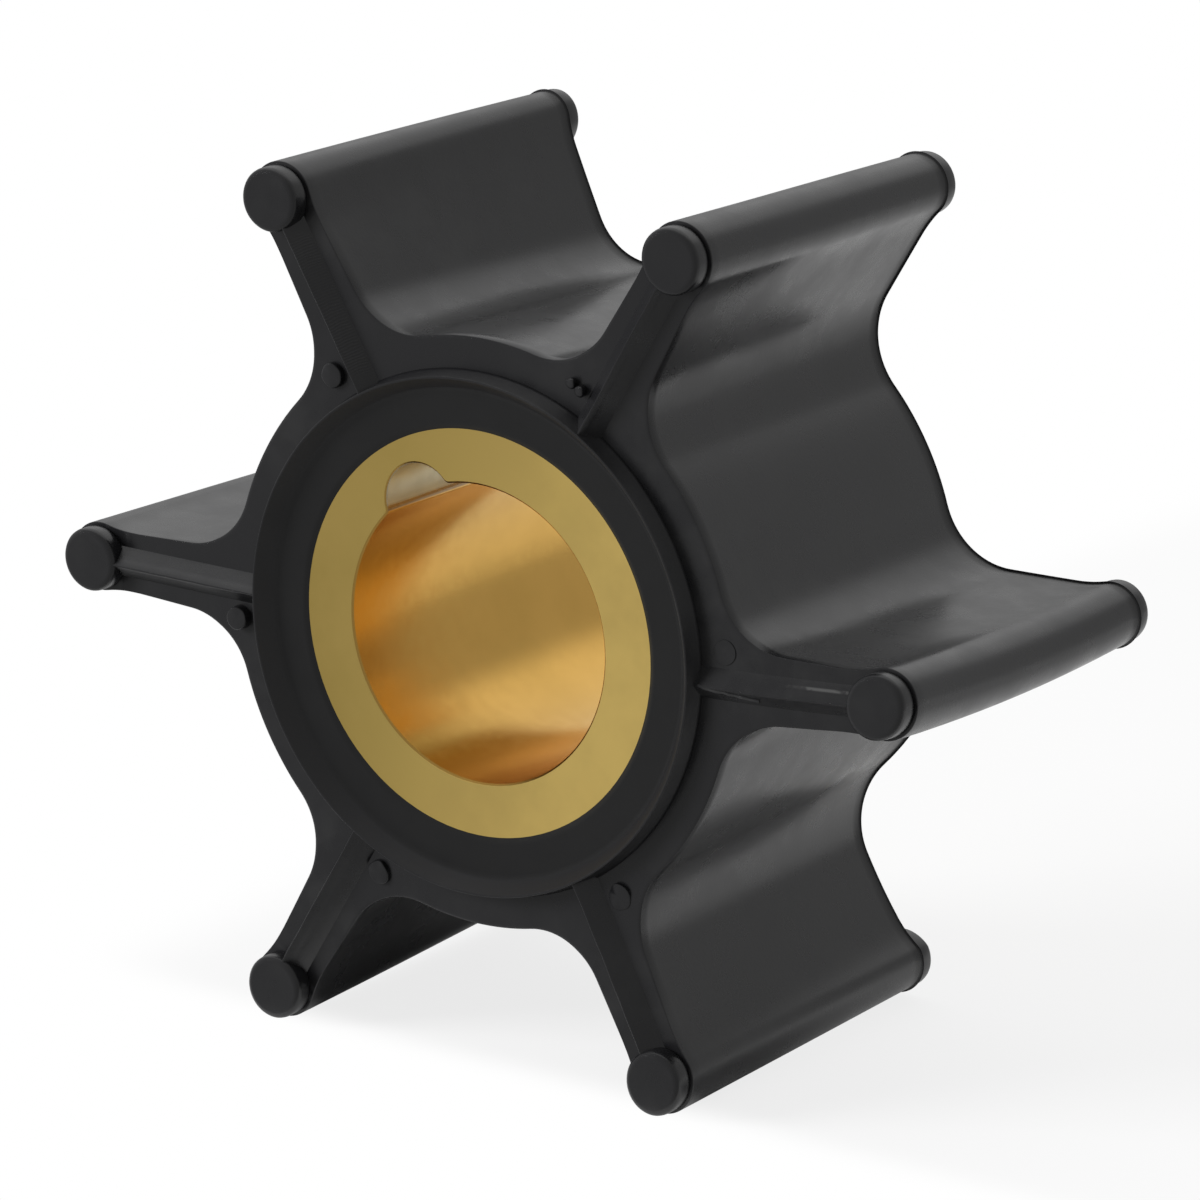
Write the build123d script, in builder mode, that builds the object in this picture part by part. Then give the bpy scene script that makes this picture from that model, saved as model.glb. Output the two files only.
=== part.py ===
from build123d import *
import math
import os

# Rubber pump impeller: a six-vane rubber moulding bonded round a keyed brass bush. Millimetres.
# The shaft axis is Y, with the front face towards -Y and Z up. The origin is the middle of the
# bore, and the impeller stands on the tips of its two lower vanes.

# Overall
overall_width = 22.9  # between the stub faces, which run against the pump's side plates
vane_count = 6

# Brass bush
bore_radius = 7.5
bush_wall = 2.8
bush_setback = 1.05  # from the stub face down to the bush's end face
bush_chamfer = 0.1
key_width = 4.0  # the keyway is a round-bottomed groove through the whole bush
key_depth = 1.45  # beyond the bore's wall
key_angle = 120.0  # in line with the upper left vane
key_corner = 0.4  # rounding where the keyway opens into the bore

# Sealing collar round the bush, on both end faces, from the inside out
bond_gap = 0.0  # the rubber is moulded onto the bush
land_width = 1.9  # flat rubber ring beside the bush
collar_bevel = 0.65  # radial run of the slope up to the crest
crest_land = 0.1  # width of the narrow flat on the crest
collar_draft = 0.15  # how far the outer wall leans in on its way up to the crest
collar_depth = 0.9  # from the crest down to the flat ring beside the bush

# Rubber hub and vanes
hub_shoulder = 1.5  # flat ring between the collar's foot and the hub's outline
vane_reach = 8.8  # from the hub's outline to the middle of the vane's round tip
vane_thickness = 3.15
vane_setback = 1.05  # from the stub face down to the vane's end face
root_fillet = 3.85  # blends each vane's flank into the hub
bead_rise = 0.225  # how far the round bead along the tip stands proud of the flanks

# Details on each vane's end face
stub_step = 0.22  # the stub on the bead's end is this much smaller in radius
stub_edge = 0.15  # broken edge round the stub face
rib_width = 1.44  # roof-shaped sealing rib along the middle of the vane, measured across its foot
rib_height = 1.0
rib_crest = 0.1  # width of the narrow flat on top of the rib
pip_radius = 0.65  # round moulding pip beside the vane's root, on the front face only
pip_height = 0.65
pip_edge = 0.1
pip_inset = 0.1  # how far inside the hub's outline the pips are centred

# Levels along the axis, measured from the middle plane
crest_level = overall_width / 2
vane_level = crest_level - vane_setback
bush_level = crest_level - bush_setback
land_level = crest_level - collar_depth

# Radii from the shaft axis, from the inside out
bush_radius = bore_radius + bush_wall
seat_radius = bush_radius + bond_gap
land_radius = seat_radius + land_width
crest_inner_radius = land_radius + collar_bevel
crest_outer_radius = crest_inner_radius + crest_land
collar_foot_radius = crest_outer_radius + collar_draft
hub_radius = collar_foot_radius + hub_shoulder
tip_circle = hub_radius + vane_reach

# Sizes of the details
key_radius = key_width / 2
key_circle = bore_radius + key_depth - key_radius
bead_radius = vane_thickness / 2 + bead_rise
stub_radius = bead_radius - stub_step
rib_start = (crest_inner_radius + crest_outer_radius) / 2
rib_length = tip_circle - stub_radius / 2 - rib_start
rib_level = vane_level + rib_height
pip_circle = hub_radius - pip_inset
pip_angle = math.degrees(math.asin(vane_thickness / 2 / pip_circle))

# Working planes, both facing the front
middle = Plane.XZ
vane_end = Plane.XZ.offset(vane_level)

# A plane across each rib's inner end, facing outwards along its vane
rib_planes = []
for vane in range(vane_count):
    outwards = Vector(1, 0, 0).rotate(Axis.Y, 360 / vane_count * vane)
    rib_planes.append(Plane(origin=outwards * rib_start, x_dir=(0, -1, 0), z_dir=outwards))

os.makedirs("parts", exist_ok=True)

# Bush: turned brass, with the keyway broached through it and every edge broken
with BuildPart() as bush:
    with BuildSketch(middle):
        Circle(bush_radius)
        Circle(bore_radius, mode=Mode.SUBTRACT)
        with PolarLocations(key_circle, 1, start_angle=key_angle):
            Circle(key_radius, mode=Mode.SUBTRACT)
    extrude(amount=bush_level, both=True)
    key_line = Vector(key_circle, 0, 0).rotate(Axis.Y, -key_angle)
    key_corners = bush.edges().filter_by(Axis.Y).sort_by_distance(key_line)[:2]
    fillet(key_corners, radius=key_corner)
    chamfer(bush.faces().filter_by(Axis.Y).edges(), length=bush_chamfer)

bush.part.label = "bush"
export_step(bush.part, "parts/bush.step")

# Rotor: hub, collars and vanes moulded in one piece round the bush. The front half is
# modelled and mirrored, and the moulding pips are then added to the front alone.
with BuildPart() as rubber_rotor:
    # Hub and vanes, from the middle plane to the vanes' end faces
    with BuildSketch(middle):
        Circle(hub_radius)
        with PolarLocations(0, vane_count):
            Rectangle(tip_circle, vane_thickness, align=(Align.MIN, Align.CENTER))
        with PolarLocations(tip_circle, vane_count):
            Circle(bead_radius)
    extrude(amount=vane_level)
    long_edges = rubber_rotor.edges().filter_by(Axis.Y)
    roots = long_edges.sort_by_distance(Vector(0, -vane_level / 2, 0))[: 2 * vane_count]
    fillet(roots, radius=root_fillet)

    # Round stubs that carry the beads out to the full width
    with BuildSketch(vane_end):
        with PolarLocations(tip_circle, vane_count):
            Circle(stub_radius)
    extrude(amount=vane_setback)
    stub_faces = rubber_rotor.faces().filter_by(Axis.Y).group_by(Axis.Y)[0]
    chamfer(stub_faces.edges(), length=stub_edge)

    # Collar, turned about the shaft axis
    with BuildSketch(Plane.XY):
        with BuildLine():
            Polyline(
                (seat_radius, 0),
                (seat_radius, -land_level),
                (land_radius, -land_level),
                (crest_inner_radius, -crest_level),
                (crest_outer_radius, -crest_level),
                (collar_foot_radius, -vane_level),
                (collar_foot_radius, 0),
                close=True,
            )
        make_face()
    revolve(axis=Axis.Y)

    # Roof-shaped ribs from the collar out to the stubs
    with BuildSketch(*rib_planes):
        with BuildLine():
            Polyline(
                (vane_level / 2, -rib_width / 2),
                (vane_level, -rib_width / 2),
                (rib_level, -rib_crest / 2),
                (rib_level, rib_crest / 2),
                (vane_level, rib_width / 2),
                (vane_level / 2, rib_width / 2),
                close=True,
            )
        make_face()
    extrude(amount=rib_length)

    # Back half, and the seat for the bush
    mirror(about=middle)
    with BuildSketch(middle):
        Circle(seat_radius)
    extrude(amount=overall_width, both=True, mode=Mode.SUBTRACT)

    # Moulding pips
    with BuildSketch(vane_end):
        with PolarLocations(pip_circle, vane_count, start_angle=pip_angle):
            Circle(pip_radius)
    pips = extrude(amount=pip_height)
    pip_tops = pips.faces().filter_by(Axis.Y).group_by(Axis.Y)[0]
    chamfer(pip_tops.edges(), length=pip_edge)

rubber_rotor.part.label = "rubber_rotor"
export_step(rubber_rotor.part, "parts/rubber_rotor.step")
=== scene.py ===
"""Looks of the rubber pump impeller: moulded black rubber round a keyed brass bush, on a floor.

The shaft axis is Y with the front face towards -Y, and Z is up. The moulding is shaped in
millimetres and scaled to metres at its end; everything else is in metres.
"""
import math

import bmesh
import bpy
from mathutils import Matrix, Vector, noise


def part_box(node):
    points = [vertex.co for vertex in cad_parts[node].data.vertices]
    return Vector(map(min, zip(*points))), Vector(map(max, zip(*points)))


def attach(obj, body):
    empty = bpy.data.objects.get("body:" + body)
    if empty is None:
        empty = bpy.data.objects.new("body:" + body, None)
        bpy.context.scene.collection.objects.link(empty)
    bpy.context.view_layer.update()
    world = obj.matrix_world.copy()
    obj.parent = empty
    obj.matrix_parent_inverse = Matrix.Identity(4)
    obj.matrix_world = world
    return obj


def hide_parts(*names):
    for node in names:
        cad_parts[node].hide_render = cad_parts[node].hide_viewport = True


MM = 0.001

# Noise vectors depend on a generator that the clock starts, unless it is given a number
noise.seed_set(7)

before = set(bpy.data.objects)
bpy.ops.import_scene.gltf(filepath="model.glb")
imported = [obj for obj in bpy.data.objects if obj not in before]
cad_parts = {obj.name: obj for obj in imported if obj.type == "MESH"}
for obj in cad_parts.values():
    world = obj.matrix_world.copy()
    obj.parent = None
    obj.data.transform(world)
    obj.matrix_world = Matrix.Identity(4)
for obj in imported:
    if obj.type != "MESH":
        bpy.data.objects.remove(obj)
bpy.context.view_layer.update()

# Sizes read from the frame
_, rotor_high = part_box("rubber_rotor")
_, bush_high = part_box("bush")
STUB_LEVEL = rotor_high.y / MM
BUSH_RADIUS = bush_high.x / MM
BUSH_LEVEL = bush_high.y / MM

# Sizes that the frame's boxes don't give, in millimetres: levels are measured from the middle
# plane, and radii from the shaft axis
VANE_LEVEL = STUB_LEVEL - 1.05
LAND_LEVEL = STUB_LEVEL - 0.9
BORE_RADIUS = 7.5
LAND_RADIUS = BUSH_RADIUS + 1.9
CREST_INNER = LAND_RADIUS + 0.65
CREST_OUTER = CREST_INNER + 0.1
COLLAR_FOOT = CREST_OUTER + 0.15
HUB_RADIUS = COLLAR_FOOT + 1.5
TIP_CIRCLE = HUB_RADIUS + 8.8
VANE_COUNT = 6
VANE_PITCH = 360 // VANE_COUNT
VANE_THICKNESS = 3.15
ROOT_FILLET = 3.85
BEAD_RADIUS = VANE_THICKNESS / 2 + 0.225
BEAD_BLEND = 7.0
STUB_RADIUS = BEAD_RADIUS - 0.22
RIB_WIDTH = 1.44
RIB_HEIGHT = 1.0
PIP_CIRCLE = HUB_RADIUS - 0.1
# How much the vanes' edges are rounded, and how deep the raised forms are sunk into the vanes
EDGE_ROUND = 0.06
SUNK = 0.3

# The part in the photo is used and not quite regular. Below, a vane goes by its angle in degrees,
# anticlockwise from +X seen from the front.
# How far each vane's tip has taken a set, anticlockwise: at its front, middle and back
SET = {
    0: (0.75, 0.12, 0.2), 60: (0.08, 0.0, -0.08), 120: (0.2, -0.38, -0.95),
    180: (-0.06, 0.05, 0.22), 240: (-0.05, -0.25, -0.5), 300: (-0.5, -0.3, -0.15),
}
# The radius that a vane bends from and the power that its bend grows by; a tip comes in by its
# shift squared over the last length
BEND_START = 13.2
BEND_GROWTH = 1.35
BEND_SHORTENING = 14
# How much longer a vane stands, or shorter below zero, at its front and at its back
STRETCH = {60: (-0.06, -0.04), 120: (-0.06, -0.15), 240: (0.12, -0.05), 300: (-0.05, -0.14)}
# How far one vane bows at its back, and how wavy all of them are
BOW = {300: -0.5}
WAVINESS = 0.012
# The mould's draft: how much further out the walls stand at the front face and at the back face,
# on the hub and on the beads; from the start of the change the first passes into the second
DRAFT_HUB = (0.20, -0.23)
DRAFT_BEAD = (-0.02, -0.21)
DRAFT_CHANGE_START = 16
DRAFT_CHANGE_RUN = 5
# How far each rib's crest at the front leans the same way, and how rough all the crests are
LEAN = {0: -0.1, 60: -0.05, 120: -0.05, 180: 0.0, 240: -0.3, 300: -0.05}
RIB_ROUGHNESS = 0.03
# How much of its height a rib has left at the front: the one on the bent vane is worn down
RIB_LEFT = {0: 0.6}
# Where that rib is torn: a fine flap's ends, as (radius, across the rib, height above the vane's
# end face), with its thickness at either end as a radius, and how crumpled it is
TORN_EDGE = ((13.3, -0.12, 0.52), (16.6, -0.50, 0.22))
TORN_THICKNESS = (0.11, 0.09)
TORN_CRUMPLE = 0.07
# Where pale lines are painted on it as highlights along its edges: the ends of two lines, as (x,
# z), and how pale each one is
PAINTED_HIGHLIGHT_LINES = (((13.3, -0.12), (16.6, -0.40), 0.07), ((18.1, 0.68), (21.5, 0.94), 0.24))
# The moulding pips: each one's vane, radius, height, raggedness and shift from its proper place
PIPS = (
    (0, 0.62, 0.05, 0.02, 0), (60, 0.26, 0.36, 0.12, -0.32), (60, 0.24, 0.28, 0.16, 0.3),
    (120, 0.62, 0.32, 0.05, 0), (180, 0.6, 0.5, 0.05, 0), (240, 0.62, 0.2, 0.1, 0),
    (300, 0.66, 0.13, 0.13, 0.05),
)
# The rib with the mould's cutter marks: its direction, the one across it, and the marks' pitch
CUT_RIB_ALONG = (-0.5, 0, 0.866)
CUT_RIB_ACROSS = (-0.866, 0, -0.5)
CUT_PITCH = 0.15

# How near two levels or two points are, in millimetres, when they count as one
SAME_LEVEL = 1e-4
SAME_PLACE = 1e-3

# Colours
RUBBER_BLACK = (0.010, 0.010, 0.011, 1)
RUBBER_BLOOM = (0.019, 0.019, 0.0196, 1)
# Painted shade: a darker black for the recessed ring between the collar and the brass
LAND_SHADE_BLACK = (0.006, 0.006, 0.0062, 1)
# Painted highlight: a pale grey that stands in for the shine along the worn rib's edges
HIGHLIGHT_GREY = (0.24, 0.24, 0.235, 1)
# Painted light on the bush's end faces: shaded olive on the left, lit yellow on the right
FACE_SHADED_OLIVE = (0.56, 0.40, 0.11, 1)
FACE_LIT_YELLOW = (1.0, 0.72, 0.22, 1)
FACE_CLOUD = (0.69, 0.49, 0.15, 1)
BORE_GOLD = (0.69, 0.41, 0.10, 1)
BORE_AMBER = (0.64, 0.38, 0.09, 1)
KEYWAY_LIP = (0.33, 0.23, 0.13, 1)
KEYWAY_CREAM = (0.74, 0.73, 0.57, 1)
PAPER = (0.9, 0.9, 0.9, 1)
WHITE = (1, 1, 1, 1)
BUMP_DEPTH = 0.02 * MM

# The floor's edges
FLOOR_LEFT, FLOOR_RIGHT = -0.030, 0.110
FLOOR_NEAR, FLOOR_FAR = -0.0125, 0.150
# The painted shadow in the floor's reflections: its middle and its half widths
SHADOW_MIDDLE = (-0.008, 0.018, 0)
SHADOW_ACROSS, SHADOW_ALONG = 0.020, 0.024
# The room's white side, and how bright the rest is in front and behind
ROOM_WHITE_SIDE = Vector((-0.25, 0.45, 0.85)).normalized()
ROOM_IN_FRONT, ROOM_BEHIND = 0.32, 0.49

# The photograph's camera, fitted to the vanes' tips and the bush's circles
FRAME_PIXELS = 1200
FOCAL_PIXELS = 6138.5
ORIGIN_PIXEL = (598.6, 587.3)
CAMERA_DISTANCE = 305.9 * MM
CAMERA_AZIMUTH = math.radians(34.51)
CAMERA_ELEVATION = math.radians(15.98)
CAMERA_ROLL = math.radians(0.55)
SENSOR_WIDTH = 36


def photo_camera():
    """Camera at the photograph's angle, aimed so that the origin lands where it does there."""
    back = Vector((
        math.sin(CAMERA_AZIMUTH) * math.cos(CAMERA_ELEVATION),
        -math.cos(CAMERA_AZIMUTH) * math.cos(CAMERA_ELEVATION),
        math.sin(CAMERA_ELEVATION),
    ))
    level_right = Vector((0, 0, 1)).cross(back).normalized()
    level_up = back.cross(level_right)
    right = math.cos(CAMERA_ROLL) * level_right + math.sin(CAMERA_ROLL) * level_up
    up = math.cos(CAMERA_ROLL) * level_up - math.sin(CAMERA_ROLL) * level_right
    middle = FRAME_PIXELS / 2
    across = (ORIGIN_PIXEL[0] - middle) * CAMERA_DISTANCE / FOCAL_PIXELS
    above = (middle - ORIGIN_PIXEL[1]) * CAMERA_DISTANCE / FOCAL_PIXELS
    data = bpy.data.cameras.new("photo_camera")
    data.sensor_width = SENSOR_WIDTH
    data.lens = FOCAL_PIXELS / FRAME_PIXELS * SENSOR_WIDTH
    data.clip_start, data.clip_end = 10 * MM, 10
    camera = bpy.data.objects.new("photo_camera", data)
    turn = Matrix((right, up, back)).transposed().to_4x4()
    place = back * CAMERA_DISTANCE - right * across - up * above
    camera.matrix_world = Matrix.Translation(place) @ turn
    bpy.context.scene.collection.objects.link(camera)
    bpy.context.scene.camera = camera


def put(tree, kind, sockets=None, **settings):
    """Adds a shader node; a socket is given a value, or another node's output to link."""
    made = tree.nodes.new("ShaderNode" + kind)
    for name, value in settings.items():
        setattr(made, name, value)
    for name, value in (sockets or {}).items():
        if isinstance(value, bpy.types.NodeSocket):
            tree.links.new(value, made.inputs[name])
        else:
            made.inputs[name].default_value = value
    return made


def ramp(tree, factor, low, high, to_low=0.0, to_high=1.0):
    """Rescales a value smoothly from one range to another, held at the ends."""
    sockets = {
        "Value": factor, "From Min": low, "From Max": high, "To Min": to_low, "To Max": to_high,
    }
    return put(tree, "MapRange", sockets, interpolation_type="SMOOTHSTEP").outputs["Result"]


def maths(tree, operation, *values):
    """A Math node with its values in order."""
    return put(tree, "Math", dict(enumerate(values)), operation=operation).outputs["Value"]


def times(tree, first, *others):
    """Multiplies values, one after another."""
    for other in others:
        first = maths(tree, "MULTIPLY", first, other)
    return first


def blend(tree, factor, first, second):
    """Mixes two colours."""
    made = put(tree, "Mix", {0: factor, 6: first, 7: second}, data_type="RGBA")
    return made.outputs[2]


def clouds(tree, place, scale, detail, roughness=0.5):
    """Cloudy noise over a place."""
    sockets = {"Vector": place, "Scale": scale, "Detail": detail, "Roughness": roughness}
    return put(tree, "TexNoise", sockets).outputs["Fac"]


def reach_along(tree, place, direction):
    """How far a place lies along a direction."""
    made = put(tree, "VectorMath", {0: place, 1: direction}, operation="DOT_PRODUCT")
    return made.outputs["Value"]


def new_material(name):
    """An empty material and its node tree."""
    made = bpy.data.materials.new(name)
    made.use_nodes = True
    made.node_tree.nodes.clear()
    return made, made.node_tree


def finish_material(tree, shader):
    """Gives a material's surface its shader."""
    out = put(tree, "OutputMaterial")
    tree.links.new(shader, out.inputs["Surface"])


def link_object(name, mesh):
    """Puts a mesh into the scene as an object."""
    made = bpy.data.objects.new(name, mesh)
    bpy.context.scene.collection.objects.link(made)
    return made


def shaft_place(tree):
    """The place from Object coordinates, with its radius and its level, both in millimetres."""
    place = put(tree, "TexCoord").outputs["Object"]
    parts = put(tree, "SeparateXYZ", {"Vector": place})
    across = times(tree, parts.outputs["X"], parts.outputs["X"])
    up = times(tree, parts.outputs["Z"], parts.outputs["Z"])
    radius = maths(tree, "SQRT", maths(tree, "ADD", across, up))
    radius = maths(tree, "DIVIDE", radius, MM)
    level = maths(tree, "DIVIDE", maths(tree, "ABSOLUTE", parts.outputs["Y"]), MM)
    return place, radius, level


def painted_highlight_line(tree, place, streaks, start, end):
    """Mask of a fine broken line of painted highlight on the front, between two points as (x, z) in
    millimetres.
    """
    run = Vector((end[0] - start[0], 0, end[1] - start[1])) * MM
    along = run.normalized()
    across = Vector((-along.z, 0, along.x))
    origin = Vector((start[0], 0, start[1])) * MM
    reach = maths(tree, "SUBTRACT", reach_along(tree, place, along), origin.dot(along))
    aside = maths(tree, "SUBTRACT", reach_along(tree, place, across), origin.dot(across))
    aside = maths(tree, "ABSOLUTE", aside)
    line = times(tree, ramp(tree, aside, 0.10 * MM, 0.02 * MM),
                 ramp(tree, streaks, 0.38, 0.56, 0.15, 1.0))
    ends = times(tree, ramp(tree, reach, -0.3 * MM, 0.9 * MM),
                 ramp(tree, reach, run.length + 0.2 * MM, run.length - 0.3 * MM))
    towards_back = put(tree, "SeparateXYZ", {"Vector": place}).outputs["Y"]
    return times(tree, line, ends, ramp(tree, towards_back, -8 * MM, -9 * MM))


def rubber_material():
    """Satin black rubber with a faint bloom, cutter marks on one rib and painted highlight lines on
    another.
    """
    made, tree = new_material("moulded_rubber")
    place, radius, level = shaft_place(tree)
    mottle = clouds(tree, place, scale=420, detail=4, roughness=0.6)
    bloom = clouds(tree, place, scale=90, detail=2)
    grain = clouds(tree, place, scale=5200, detail=2, roughness=0.6)
    streaks = clouds(tree, place, scale=1700, detail=2)

    # Fine cut marks across one rib, left by the mould's cutter
    wavy_radius = maths(tree, "ADD", radius, times(tree, mottle, 0.5))
    cuts = maths(tree, "SINE", times(tree, wavy_radius, 2 * math.pi / CUT_PITCH))
    out = reach_along(tree, place, CUT_RIB_ALONG)
    off = maths(tree, "ABSOLUTE", reach_along(tree, place, CUT_RIB_ACROSS))
    between_ends = times(tree, ramp(tree, out, 13.4 * MM, 14.2 * MM),
                         ramp(tree, out, 21.6 * MM, 20.8 * MM))
    on_rib = times(tree, ramp(tree, level, VANE_LEVEL + 0.03, VANE_LEVEL + 0.12), between_ends,
                   ramp(tree, off, 0.9 * MM, 0.8 * MM))
    height = maths(tree, "ADD", times(tree, grain, 0.6), times(tree, cuts, on_rib))
    bump = put(tree, "Bump", {"Height": height, "Strength": 0.35, "Distance": BUMP_DEPTH})

    # The bloom, the painted shade on the ring beside the brass, and the painted highlight lines
    dusty = times(tree, ramp(tree, bloom, 0.35, 0.7), ramp(tree, mottle, 0.35, 0.7))
    colour = blend(tree, dusty, RUBBER_BLACK, RUBBER_BLOOM)
    raised = ramp(tree, level, VANE_LEVEL - 0.1, VANE_LEVEL)
    # Painted shade on the flat ring in the recess between the collar and the brass
    shaded_land = times(tree, ramp(tree, radius, LAND_RADIUS + 0.15, LAND_RADIUS - 0.05), raised)
    colour = blend(tree, shaded_land, colour, LAND_SHADE_BLACK)
    # Painted highlights along the worn rib, standing in for its shine
    for start, end, paleness in PAINTED_HIGHLIGHT_LINES:
        highlighted = times(tree, painted_highlight_line(tree, place, streaks, start, end), paleness)
        colour = blend(tree, highlighted, colour, HIGHLIGHT_GREY)

    on_collar = times(tree, ramp(tree, radius, COLLAR_FOOT + 0.1, CREST_OUTER), raised)
    rough = maths(tree, "ADD", ramp(tree, mottle, 0.3, 0.7, 0.25, 0.34),
                  times(tree, on_collar, 0.2))
    shader = put(tree, "BsdfPrincipled", {
        "Base Color": colour,
        "Roughness": rough,
        "IOR": 1.55,
        "Normal": bump.outputs["Normal"],
    })
    finish_material(tree, shader.outputs["BSDF"])
    return made


def brass_material():
    """Turned brass: end faces with rings, a bore with lines round it, and a pale rough keyway."""
    made, tree = new_material("turned_brass")
    place, radius, level = shaft_place(tree)
    cloud = clouds(tree, place, scale=160, detail=4, roughness=0.6)
    fine = clouds(tree, place, scale=1500, detail=3, roughness=0.6)

    # Turning marks: rings on the end faces, and lines round the bore
    on_face = ramp(tree, level, BUSH_LEVEL - 0.02, BUSH_LEVEL - 0.01)
    off_face = maths(tree, "SUBTRACT", 1.0, on_face)
    along = maths(tree, "ADD", times(tree, radius, on_face), times(tree, level, off_face))
    turned = put(tree, "TexNoise", {"W": times(tree, along, 9.0), "Scale": 1.0, "Detail": 3},
                 noise_dimensions="1D").outputs["Fac"]
    inside = ramp(tree, level, BUSH_LEVEL - 0.05, BUSH_LEVEL - 0.12)
    keyway = times(tree, ramp(tree, radius, BORE_RADIUS + 0.2, BORE_RADIUS + 0.36), inside)
    pitted = times(tree, fine, ramp(tree, keyway, 0.0, 1.0, 0.3, 8.0))
    height = maths(tree, "ADD", turned, pitted)
    height = times(tree, height, ramp(tree, on_face, 0.0, 1.0, 0.35, 1.0))
    bump = put(tree, "Bump", {"Height": height, "Strength": 0.12, "Distance": BUMP_DEPTH})

    # The faces pass from olive to yellow towards the right, painted light that is darker on the
    # left and brighter on the right; the keyway's lip is dark
    rightwards = reach_along(tree, place, (0.97, 0, -0.22))
    yellow = ramp(tree, rightwards, -9.5 * MM, 9.5 * MM)
    face = blend(tree, ramp(tree, cloud, 0.35, 0.7, 0.0, 0.5),
                 blend(tree, yellow, FACE_SHADED_OLIVE, FACE_LIT_YELLOW), FACE_CLOUD)
    bore = blend(tree, ramp(tree, cloud, 0.35, 0.7), BORE_GOLD, BORE_AMBER)
    colour = blend(tree, on_face, bore, face)
    lip = times(tree, ramp(tree, radius, BORE_RADIUS + 0.02, BORE_RADIUS + 0.07), inside)
    colour = blend(tree, lip, colour, KEYWAY_LIP)
    colour = blend(tree, keyway, colour, KEYWAY_CREAM)

    rough = maths(tree, "ADD", ramp(tree, fine, 0.3, 0.7, 0.20, 0.25), times(tree, on_face, 0.13))
    rough = maths(tree, "ADD", rough, times(tree, keyway, 0.25))
    shader = put(tree, "BsdfPrincipled", {
        "Base Color": colour,
        "Metallic": maths(tree, "SUBTRACT", 1.0, times(tree, on_face, 0.2)),
        "Roughness": rough,
        "Normal": bump.outputs["Normal"],
    })
    finish_material(tree, shader.outputs["BSDF"])
    return made


def outline_face(bm, points, rounds):
    """A flat face through a few points, with some corners rounded: corner number to radius."""
    corners = [bm.verts.new(point) for point in points]
    bm.faces.new(corners)
    for corner, size in rounds.items():
        bmesh.ops.bevel(bm, geom=[corners[corner]], offset=size, offset_type="OFFSET", segments=4,
                        profile=0.5, affect="VERTICES", clamp_overlap=True, material=-1)
    bm.faces.ensure_lookup_table()
    return bm.faces[-1]


def turned_ring(points, rounds, centre, steps):
    """A closed solid of revolution about an axis parallel to Y, from (radius, level) points."""
    bm = bmesh.new()
    face = outline_face(bm, [(centre.x + r, -level, centre.z) for r, level in points], rounds)
    on_axis = [edge for edge in face.edges
               if all(abs(v.co.x - centre.x) < SAME_LEVEL for v in edge.verts)]
    bmesh.ops.delete(bm, geom=[face], context="FACES_ONLY")
    bmesh.ops.delete(bm, geom=on_axis, context="EDGES")
    bmesh.ops.spin(bm, geom=bm.verts[:] + bm.edges[:], cent=centre, axis=(0, 1, 0),
                   angle=2 * math.pi, steps=steps, use_merge=True)
    bmesh.ops.remove_doubles(bm, verts=bm.verts, dist=SAME_LEVEL)
    return bm


def joined(target, piece):
    """Adds a piece's mesh to the moulding's, and frees it."""
    bmesh.ops.recalc_face_normals(piece, faces=piece.faces)
    mesh = bpy.data.meshes.new("part_of_moulding")
    piece.to_mesh(mesh)
    piece.free()
    target.from_mesh(mesh)
    bpy.data.meshes.remove(mesh)


def copied_round(piece, count):
    """Repeats a piece about the shaft axis."""
    angle = 2 * math.pi / count
    bmesh.ops.spin(piece, geom=piece.verts[:] + piece.edges[:] + piece.faces[:], cent=(0, 0, 0),
                   axis=(0, -1, 0), angle=angle * (count - 1), steps=count - 1, use_duplicate=True)
    return piece


def both_ends(piece):
    """Adds the same piece at the back end."""
    bmesh.ops.mirror(piece, geom=piece.verts[:] + piece.edges[:] + piece.faces[:],
                     matrix=Matrix(), merge_dist=-1, axis="Y")
    return piece


def subdivided(bm, edges, cuts):
    """Cuts long edges into short ones, so that what they belong to can bend."""
    bmesh.ops.subdivide_edges(bm, edges=edges, cuts=cuts, use_grid_fill=True)


def section_outline(bm):
    """The outline of the hub and vanes at the front: drawn for half a vane and repeated."""
    front = -VANE_LEVEL
    flank = VANE_THICKNESS / 2
    root_w = flank + ROOT_FILLET
    root_u = math.sqrt((HUB_RADIUS + ROOT_FILLET) ** 2 - root_w ** 2)
    root_angle = math.atan2(root_w, root_u)
    blend_w = flank + BEAD_BLEND
    blend_run = math.sqrt((BEAD_RADIUS + BEAD_BLEND) ** 2 - blend_w ** 2)
    blend_u = TIP_CIRCLE - blend_run
    bead_angle = math.atan2(blend_w, -blend_run)
    half_pitch = math.pi / VANE_COUNT

    def carried(vert, centre, angle, steps):
        """Draws an arc on from a vertex, and gives the arc's last one."""
        made = bmesh.ops.spin(bm, geom=[vert], cent=(centre[0], front, centre[1]),
                              axis=(0, -1, 0), angle=angle, steps=steps)
        return made["geom_last"][0]

    # Hub, root fillet, flank, blend and bead
    on_hub = (HUB_RADIUS * math.cos(half_pitch), front, HUB_RADIUS * math.sin(half_pitch))
    vert = carried(bm.verts.new(on_hub), (0, 0), root_angle - half_pitch, steps=8)
    vert = carried(vert, (root_u, root_w), math.pi / 2 - root_angle, steps=18)
    flank_steps = 8
    step = (blend_u - root_u) / flank_steps
    straight = bmesh.ops.spin(bm, geom=[vert], axis=(0, -1, 0), dvec=(step, 0, 0), angle=0,
                              steps=flank_steps)
    vert = carried(straight["geom_last"][0], (blend_u, blend_w), bead_angle - math.pi / 2, steps=6)
    carried(vert, (TIP_CIRCLE, 0), -bead_angle, steps=26)
    bmesh.ops.mirror(bm, geom=bm.verts[:] + bm.edges[:], matrix=Matrix(), merge_dist=SAME_PLACE,
                     axis="Z")
    copied_round(bm, VANE_COUNT)
    bmesh.ops.remove_doubles(bm, verts=bm.verts, dist=SAME_PLACE)


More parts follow.
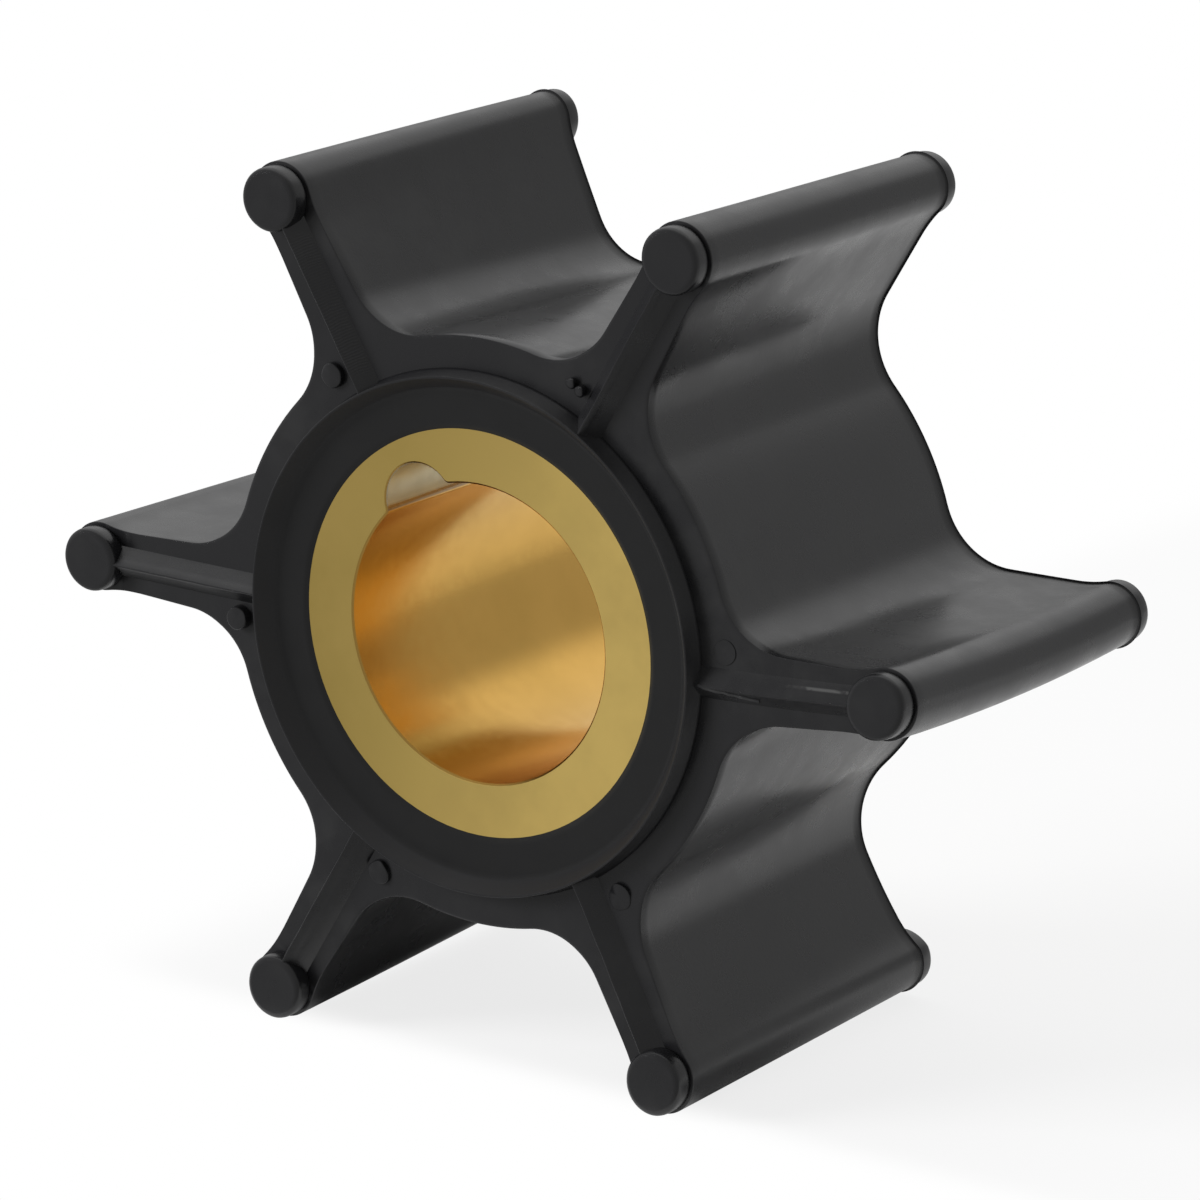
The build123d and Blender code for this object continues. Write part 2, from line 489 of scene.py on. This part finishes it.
def add_end_face(bm, level):
    """Fills an end face from the rim to a hidden ring under the collar, and gives that ring."""
    lie = Matrix.Translation((0, level, 0)) @ Matrix.Rotation(math.pi / 2, 4, "X")
    ring = bmesh.ops.create_circle(bm, radius=COLLAR_FOOT - 0.5, segments=180, matrix=lie)
    ring_edges = list(dict.fromkeys(edge for vert in ring["verts"] for edge in vert.link_edges))
    open_edges = [edge for edge in bm.edges if edge.is_boundary
                  and all(abs(vert.co.y - level) < SAME_LEVEL for vert in edge.verts)]
    bmesh.ops.triangle_fill(bm, edges=ring_edges + open_edges, use_beauty=True)
    return ring_edges


def add_draft(bm):
    """Stands the walls out at the front and in at the back."""
    bm.normal_update()
    for vert in bm.verts:
        radius = math.hypot(vert.co.x, vert.co.z)
        if radius <= COLLAR_FOOT:
            continue
        change = min(1, max(0, (radius - DRAFT_CHANGE_START) / DRAFT_CHANGE_RUN))
        part = (vert.co.y + VANE_LEVEL) / (2 * VANE_LEVEL)
        front, back = (hub + (bead - hub) * change for hub, bead in zip(DRAFT_HUB, DRAFT_BEAD))
        vert.co += Vector((vert.normal.x, 0, vert.normal.z)) * (front + (back - front) * part)


def hub_and_vanes():
    """Hub with its vanes and their beads, open through the middle for the collar and bush."""
    bm = bmesh.new()
    section_outline(bm)
    rim = bm.edges[:]
    pulled = bmesh.ops.extrude_edge_only(bm, edges=rim)["geom"]
    back_verts = [item for item in pulled if isinstance(item, bmesh.types.BMVert)]
    back_rim = [item for item in pulled if isinstance(item, bmesh.types.BMEdge)]
    bmesh.ops.translate(bm, verts=back_verts, vec=(0, 2 * VANE_LEVEL, 0))

    # The end faces are filled for the bevel, then taken off again: they are the only faces with
    # hundreds of corners
    for loop in (rim, back_rim):
        bmesh.ops.edgeloop_fill(bm, edges=loop)
    bmesh.ops.recalc_face_normals(bm, faces=bm.faces)
    bmesh.ops.bevel(bm, geom=rim + back_rim, offset=EDGE_ROUND, offset_type="OFFSET", segments=3,
                    profile=0.5, affect="EDGES", clamp_overlap=False, material=-1)
    end_faces = [face for face in bm.faces if len(face.verts) > 100]
    bmesh.ops.delete(bm, geom=end_faces, context="FACES_ONLY")
    subdivided(bm, [edge for edge in bm.edges
                    if abs(edge.verts[0].co.y - edge.verts[1].co.y) > VANE_LEVEL], cuts=31)

    hidden_rings = add_end_face(bm, -VANE_LEVEL) + add_end_face(bm, VANE_LEVEL)
    bmesh.ops.bridge_loops(bm, edges=hidden_rings)
    bmesh.ops.recalc_face_normals(bm, faces=bm.faces)
    add_draft(bm)
    return bm


def collar():
    """Raised sealing collar on both ends, with the wall that is bonded to the bush."""
    points = [
        (BUSH_RADIUS, BUSH_LEVEL - 0.1), (BUSH_RADIUS - 0.1, BUSH_LEVEL),
        (BUSH_RADIUS + 0.15, LAND_LEVEL), (LAND_RADIUS, LAND_LEVEL),
        (CREST_INNER, STUB_LEVEL), (CREST_OUTER, STUB_LEVEL),
        (COLLAR_FOOT - 0.02, VANE_LEVEL + 0.1), (COLLAR_FOOT + 0.1, VANE_LEVEL - 0.02),
        (COLLAR_FOOT + 0.1, 0), (BUSH_RADIUS, 0),
    ]
    rounds = {2: 0.1, 3: 0.2, 4: 0.05, 5: 0.05}
    return turned_ring(points, rounds, Vector((0, 0, 0)), steps=288)


def stubs(radius, groove, back):
    """Round stubs on the beads' ends, with a fine groove where each meets its bead."""
    neck = radius - groove
    points = [
        (0, STUB_LEVEL), (radius - 0.34, STUB_LEVEL), (radius, STUB_LEVEL),
        (radius, VANE_LEVEL + 0.14), (neck, VANE_LEVEL + 0.08),
        (neck, VANE_LEVEL - SUNK), (0, VANE_LEVEL - SUNK),
    ]
    bm = turned_ring(points, {2: 0.3, 3: 0.03}, Vector((TIP_CIRCLE, 0, 0)), steps=64)
    if back:
        bmesh.ops.scale(bm, vec=(1, -1, 1), verts=bm.verts)
    return copied_round(bm, VANE_COUNT)


def rib():
    """Roof-shaped sealing rib along a vane's end face."""
    bm = bmesh.new()
    start = (CREST_INNER + CREST_OUTER) / 2
    half = RIB_WIDTH / 2
    # One side of the roof, as (out from its middle, up from the vane's end face), and its ridge
    slope = [(half + 0.1, -0.05), (half + 0.06, 0), (0.3, 0.58)]
    profile = [(-w, VANE_LEVEL + rise) for w, rise in slope] + [(0, VANE_LEVEL + RIB_HEIGHT)]
    profile += [(w, VANE_LEVEL + rise) for w, rise in reversed(slope)]
    face = outline_face(bm, [(start, -level, w) for w, level in profile], {3: 0.08, 2: 0.1, 4: 0.1})
    pulled = bmesh.ops.extrude_face_region(bm, geom=[face], use_keep_orig=True)["geom"]
    moved = [item for item in pulled if isinstance(item, bmesh.types.BMVert)]
    bmesh.ops.translate(bm, verts=moved, vec=(TIP_CIRCLE - STUB_RADIUS * 0.7 - start, 0, 0))
    subdivided(bm, [edge for edge in bm.edges
                    if abs(edge.verts[0].co.x - edge.verts[1].co.x) > 1], cuts=47)
    return bm


def nearest_vane(place):
    """The vane that a point belongs to, as that vane's angle in degrees."""
    angle = math.degrees(math.atan2(place.z, place.x))
    return round(angle / VANE_PITCH) * VANE_PITCH % 360


def vane_set(place):
    """Where a point of the nominal moulding lies on the used one, whose vanes have taken sets."""
    vane = nearest_vane(place)
    turn = math.radians(vane)
    # Outwards along the vane, and anticlockwise across it
    u = place.x * math.cos(turn) + place.z * math.sin(turn)
    w = place.z * math.cos(turn) - place.x * math.sin(turn)
    out = (u - BEND_START) / (TIP_CIRCLE - BEND_START)
    if out > 0:
        reach = out ** BEND_GROWTH
        part = (place.y + STUB_LEVEL) / (2 * STUB_LEVEL)
        front, middle, back = SET[vane]
        shift = (front * (1 - part) * (1 - 2 * part) + middle * 4 * part * (1 - part)
                 + back * part * (2 * part - 1))
        shift *= reach
        wave = noise.noise(Vector((u * 0.16, place.y * 0.12, vane)))
        wave *= WAVINESS * min(1, reach * 2)
        spread = min(1, out)
        w += shift + wave + BOW.get(vane, 0) * part * 4 * spread * (1 - spread)
        longer_front, longer_back = STRETCH.get(vane, (0, 0))
        u += (longer_front + (longer_back - longer_front) * part) * reach
        u -= shift * shift / BEND_SHORTENING
    return Vector((
        u * math.cos(turn) - w * math.sin(turn), place.y, u * math.sin(turn) + w * math.cos(turn),
    ))


def lean_ribs(bm):
    """Leans and roughens the ribs' crests, and wears them down at the front."""
    for vert in bm.verts:
        height = abs(vert.co.y) - VANE_LEVEL
        if height <= 0.01:
            continue
        in_front = vert.co.y < 0
        vane = nearest_vane(vert.co)
        turn = math.radians(vane)
        shift = LEAN[vane] if in_front else 0.0
        shift += RIB_ROUGHNESS * noise.noise(vert.co * 0.9)
        shift *= height / RIB_HEIGHT
        if in_front:
            vert.co.y = -VANE_LEVEL - height * RIB_LEFT.get(vane, 1)
        vert.co += Vector((-math.sin(turn), 0, math.cos(turn))) * shift


def torn_edge(start, end):
    """Fine flap of rubber torn up along a rib."""
    first, last = (
        Vector((radius, -VANE_LEVEL - height, across)) for radius, across, height in (start, end)
    )
    run = last - first
    lie = Matrix.Translation((first + last) / 2) @ run.to_track_quat("Z", "Y").to_matrix().to_4x4()
    bm = bmesh.new()
    thick, thin = TORN_THICKNESS
    bmesh.ops.create_cone(bm, cap_ends=True, segments=12, radius1=thick, radius2=thin,
                          depth=run.length, matrix=lie)
    subdivided(bm, [edge for edge in bm.edges if edge.calc_length() > 1], cuts=39)
    for vert in bm.verts:
        vert.co += noise.noise_vector(vert.co * 2.2) * TORN_CRUMPLE
    return bm


def pip(vane, radius, height, ragged, aside):
    """Moulding pip beside a vane's root, worn ragged on some vanes."""
    sideways = math.asin(VANE_THICKNESS / 2 / PIP_CIRCLE)
    centre = PIP_CIRCLE * Vector((math.cos(sideways), 0, math.sin(sideways)))
    centre.z += aside
    foot = VANE_LEVEL - 0.1
    points = [(0, VANE_LEVEL + height), (radius, VANE_LEVEL + height), (radius + 0.02, foot),
              (0, foot)]
    bm = turned_ring(points, {1: min(0.1, height / 3)}, centre, steps=32)
    for vert in bm.verts:
        if -vert.co.y > VANE_LEVEL:
            seed = Vector((vane, 7, 3)) + (vert.co - centre) * 1.7
            vert.co += noise.noise_vector(seed) * ragged
    bmesh.ops.rotate(bm, verts=bm.verts, cent=(0, 0, 0),
                     matrix=Matrix.Rotation(-math.radians(vane), 3, "Y"))
    return bm


def rubber_rotor():
    """The whole moulding as one mesh: hub, vanes, collar, stubs, ribs and pips."""
    bm = bmesh.new()
    joined(bm, hub_and_vanes())
    joined(bm, both_ends(collar()))
    joined(bm, stubs(radius=STUB_RADIUS + 0.05, groove=0.06, back=False))
    joined(bm, stubs(radius=STUB_RADIUS + 0.02, groove=0.16, back=True))
    ribs = both_ends(copied_round(rib(), VANE_COUNT))
    lean_ribs(ribs)
    joined(bm, ribs)
    joined(bm, torn_edge(*TORN_EDGE))
    for one_pip in PIPS:
        joined(bm, pip(*one_pip))
    for vert in bm.verts:
        vert.co = vane_set(vert.co)
    bmesh.ops.scale(bm, vec=(MM, MM, MM), verts=bm.verts)
    mesh = bpy.data.meshes.new("moulded_rotor")
    bm.to_mesh(mesh)
    bm.free()
    mesh.shade_smooth()
    mesh.set_sharp_from_angle(angle=math.radians(50))
    made = link_object("moulded_rotor", mesh)
    made.modifiers.new("flat_faces_stay_flat", "WEIGHTED_NORMAL").keep_sharp = True
    mesh.materials.append(rubber_material())
    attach(made, "root")
    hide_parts("rubber_rotor")
    return made


def brass_bush():
    """The bush's own mesh, taken from the solid, with smooth walls."""
    bm = bmesh.new()
    bm.from_mesh(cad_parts["bush"].data)
    bmesh.ops.remove_doubles(bm, verts=bm.verts, dist=0.002 * MM)
    bmesh.ops.dissolve_limit(bm, angle_limit=math.radians(0.3), verts=bm.verts, edges=bm.edges)
    mesh = bpy.data.meshes.new("brass_bush")
    bm.to_mesh(mesh)
    bm.free()
    mesh.shade_smooth()
    mesh.set_sharp_from_angle(angle=math.radians(30))
    made = link_object("brass_bush", mesh)
    mesh.materials.clear()
    mesh.materials.append(brass_material())
    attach(made, "root")
    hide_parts("bush")


def floor_material():
    """Pale paper that the camera sees almost white, with a faint shadow near the impeller, and a
    painted glow and painted shadow in reflections.
    """
    made, tree = new_material("pale_floor")
    place = put(tree, "TexCoord").outputs["Object"]
    parts = put(tree, "SeparateXYZ", {"Vector": place})
    path = put(tree, "LightPath")

    # The shadow fades out before each edge, over a depth that is counted inwards
    inside = 1.0
    for axis, edge, depth in (("X", FLOOR_LEFT, 0.012), ("X", FLOOR_RIGHT, -0.05),
                              ("Y", FLOOR_NEAR, 0.006), ("Y", FLOOR_FAR, -0.07)):
        inside = times(tree, inside, ramp(tree, parts.outputs[axis], edge + depth / 20,
                                          edge + depth))
    white_to_camera = times(tree, path.outputs["Is Camera Ray"],
                            ramp(tree, inside, 0, 1, 1.0, 0.8))

    # In the impeller's reflections the floor glows white too, a painted reflection kept to a patch
    # behind the impeller and short of its right side and to a strip in front, with a painted shadow
    # behind it
    off_shadow = put(tree, "VectorMath", {0: place, 1: SHADOW_MIDDLE}, operation="SUBTRACT")
    off_shadow = put(tree, "VectorMath", {
        0: off_shadow.outputs["Vector"],
        1: (1 / SHADOW_ACROSS, 1 / SHADOW_ALONG, 0),
    }, operation="MULTIPLY")
    off_shadow = put(tree, "VectorMath", {0: off_shadow.outputs["Vector"]}, operation="LENGTH")
    painted_mirror_glow = times(tree, path.outputs["Is Glossy Ray"],
                     ramp(tree, off_shadow.outputs["Value"], 0.8, 1.3, 0.0, 0.65))
    behind = times(tree, ramp(tree, parts.outputs["Y"], -0.004, 0.017),
                   ramp(tree, parts.outputs["X"], 0.055, 0.034))
    in_front = times(tree, ramp(tree, parts.outputs["Y"], -0.0078, -0.0100), 0.7)
    painted_mirror_glow = times(tree, painted_mirror_glow, maths(tree, "MAXIMUM", behind, in_front))

    paper = put(tree, "BsdfDiffuse", {"Color": PAPER})
    white = put(tree, "Emission", {"Color": WHITE, "Strength": 1.0})
    share = maths(tree, "MAXIMUM", white_to_camera, painted_mirror_glow)
    mix = put(tree, "MixShader", {0: share, 1: paper.outputs["BSDF"], 2: white.outputs["Emission"]})
    finish_material(tree, mix.outputs["Shader"])
    return made


def stage_floor(level):
    """Small pale sheet under the impeller, which keeps its shadow."""
    bm = bmesh.new()
    bmesh.ops.create_grid(bm, x_segments=1, y_segments=1, size=0.5)
    bmesh.ops.scale(bm, vec=(FLOOR_RIGHT - FLOOR_LEFT, FLOOR_FAR - FLOOR_NEAR, 1), verts=bm.verts)
    middle = ((FLOOR_LEFT + FLOOR_RIGHT) / 2, (FLOOR_NEAR + FLOOR_FAR) / 2, level)
    bmesh.ops.translate(bm, vec=middle, verts=bm.verts)
    mesh = bpy.data.meshes.new("floor")
    bm.to_mesh(mesh)
    bm.free()
    mesh.materials.append(floor_material())
    floor = link_object("floor", mesh)


def surroundings():
    """Plain room, white above and behind on the left and dimmer in front; white to the camera."""
    world = bpy.data.worlds.new("studio")
    bpy.context.scene.world = world
    world.use_nodes = True
    tree = world.node_tree
    tree.nodes.clear()
    towards = put(tree, "TexCoord").outputs["Generated"]
    facing = reach_along(tree, towards, ROOM_WHITE_SIDE)
    parts = put(tree, "SeparateXYZ", {"Vector": towards})
    level = ramp(tree, parts.outputs["Y"], -0.75, 0.7, ROOM_IN_FRONT, ROOM_BEHIND)
    ray = put(tree, "LightPath").outputs
    seen = maths(tree, "MAXIMUM", ray["Is Camera Ray"], ray["Is Transmission Ray"])
    bounced = maths(tree, "MAXIMUM", ray["Is Glossy Ray"], ray["Is Diffuse Ray"])
    seen = maths(tree, "MAXIMUM", seen, times(tree, bounced, ramp(tree, facing, 0.64, 0.84)))
    lit = put(tree, "Background", {"Color": WHITE, "Strength": level})
    white = put(tree, "Background", {"Color": WHITE, "Strength": 1.0})
    mix = put(tree, "MixShader", {
        0: seen, 1: lit.outputs["Background"], 2: white.outputs["Background"],
    })
    out = put(tree, "OutputWorld")
    tree.links.new(mix.outputs["Shader"], out.inputs["Surface"])


def soft_light(name, place, aim, size, power):
    """A square lamp that isn't mirrored in the impeller."""
    data = bpy.data.lights.new(name, "AREA")
    data.shape = "RECTANGLE"
    data.size, data.size_y = size, size
    data.energy = power
    lamp = bpy.data.objects.new(name, data)
    towards = (Vector(aim) - Vector(place)).to_track_quat("-Z", "Y")
    lamp.matrix_world = Matrix.Translation(place) @ towards.to_matrix().to_4x4()
    lamp.visible_glossy = False
    bpy.context.scene.collection.objects.link(lamp)


bpy.context.scene.view_settings.view_transform = "Standard"
photo_camera()
surroundings()
soft_light("front_left", place=(-0.46, -0.40, 0.18), aim=(0, 0, 0), size=0.28, power=5.2)
moulding = rubber_rotor()
brass_bush()
stage_floor(min(vert.co.z for vert in moulding.data.vertices))
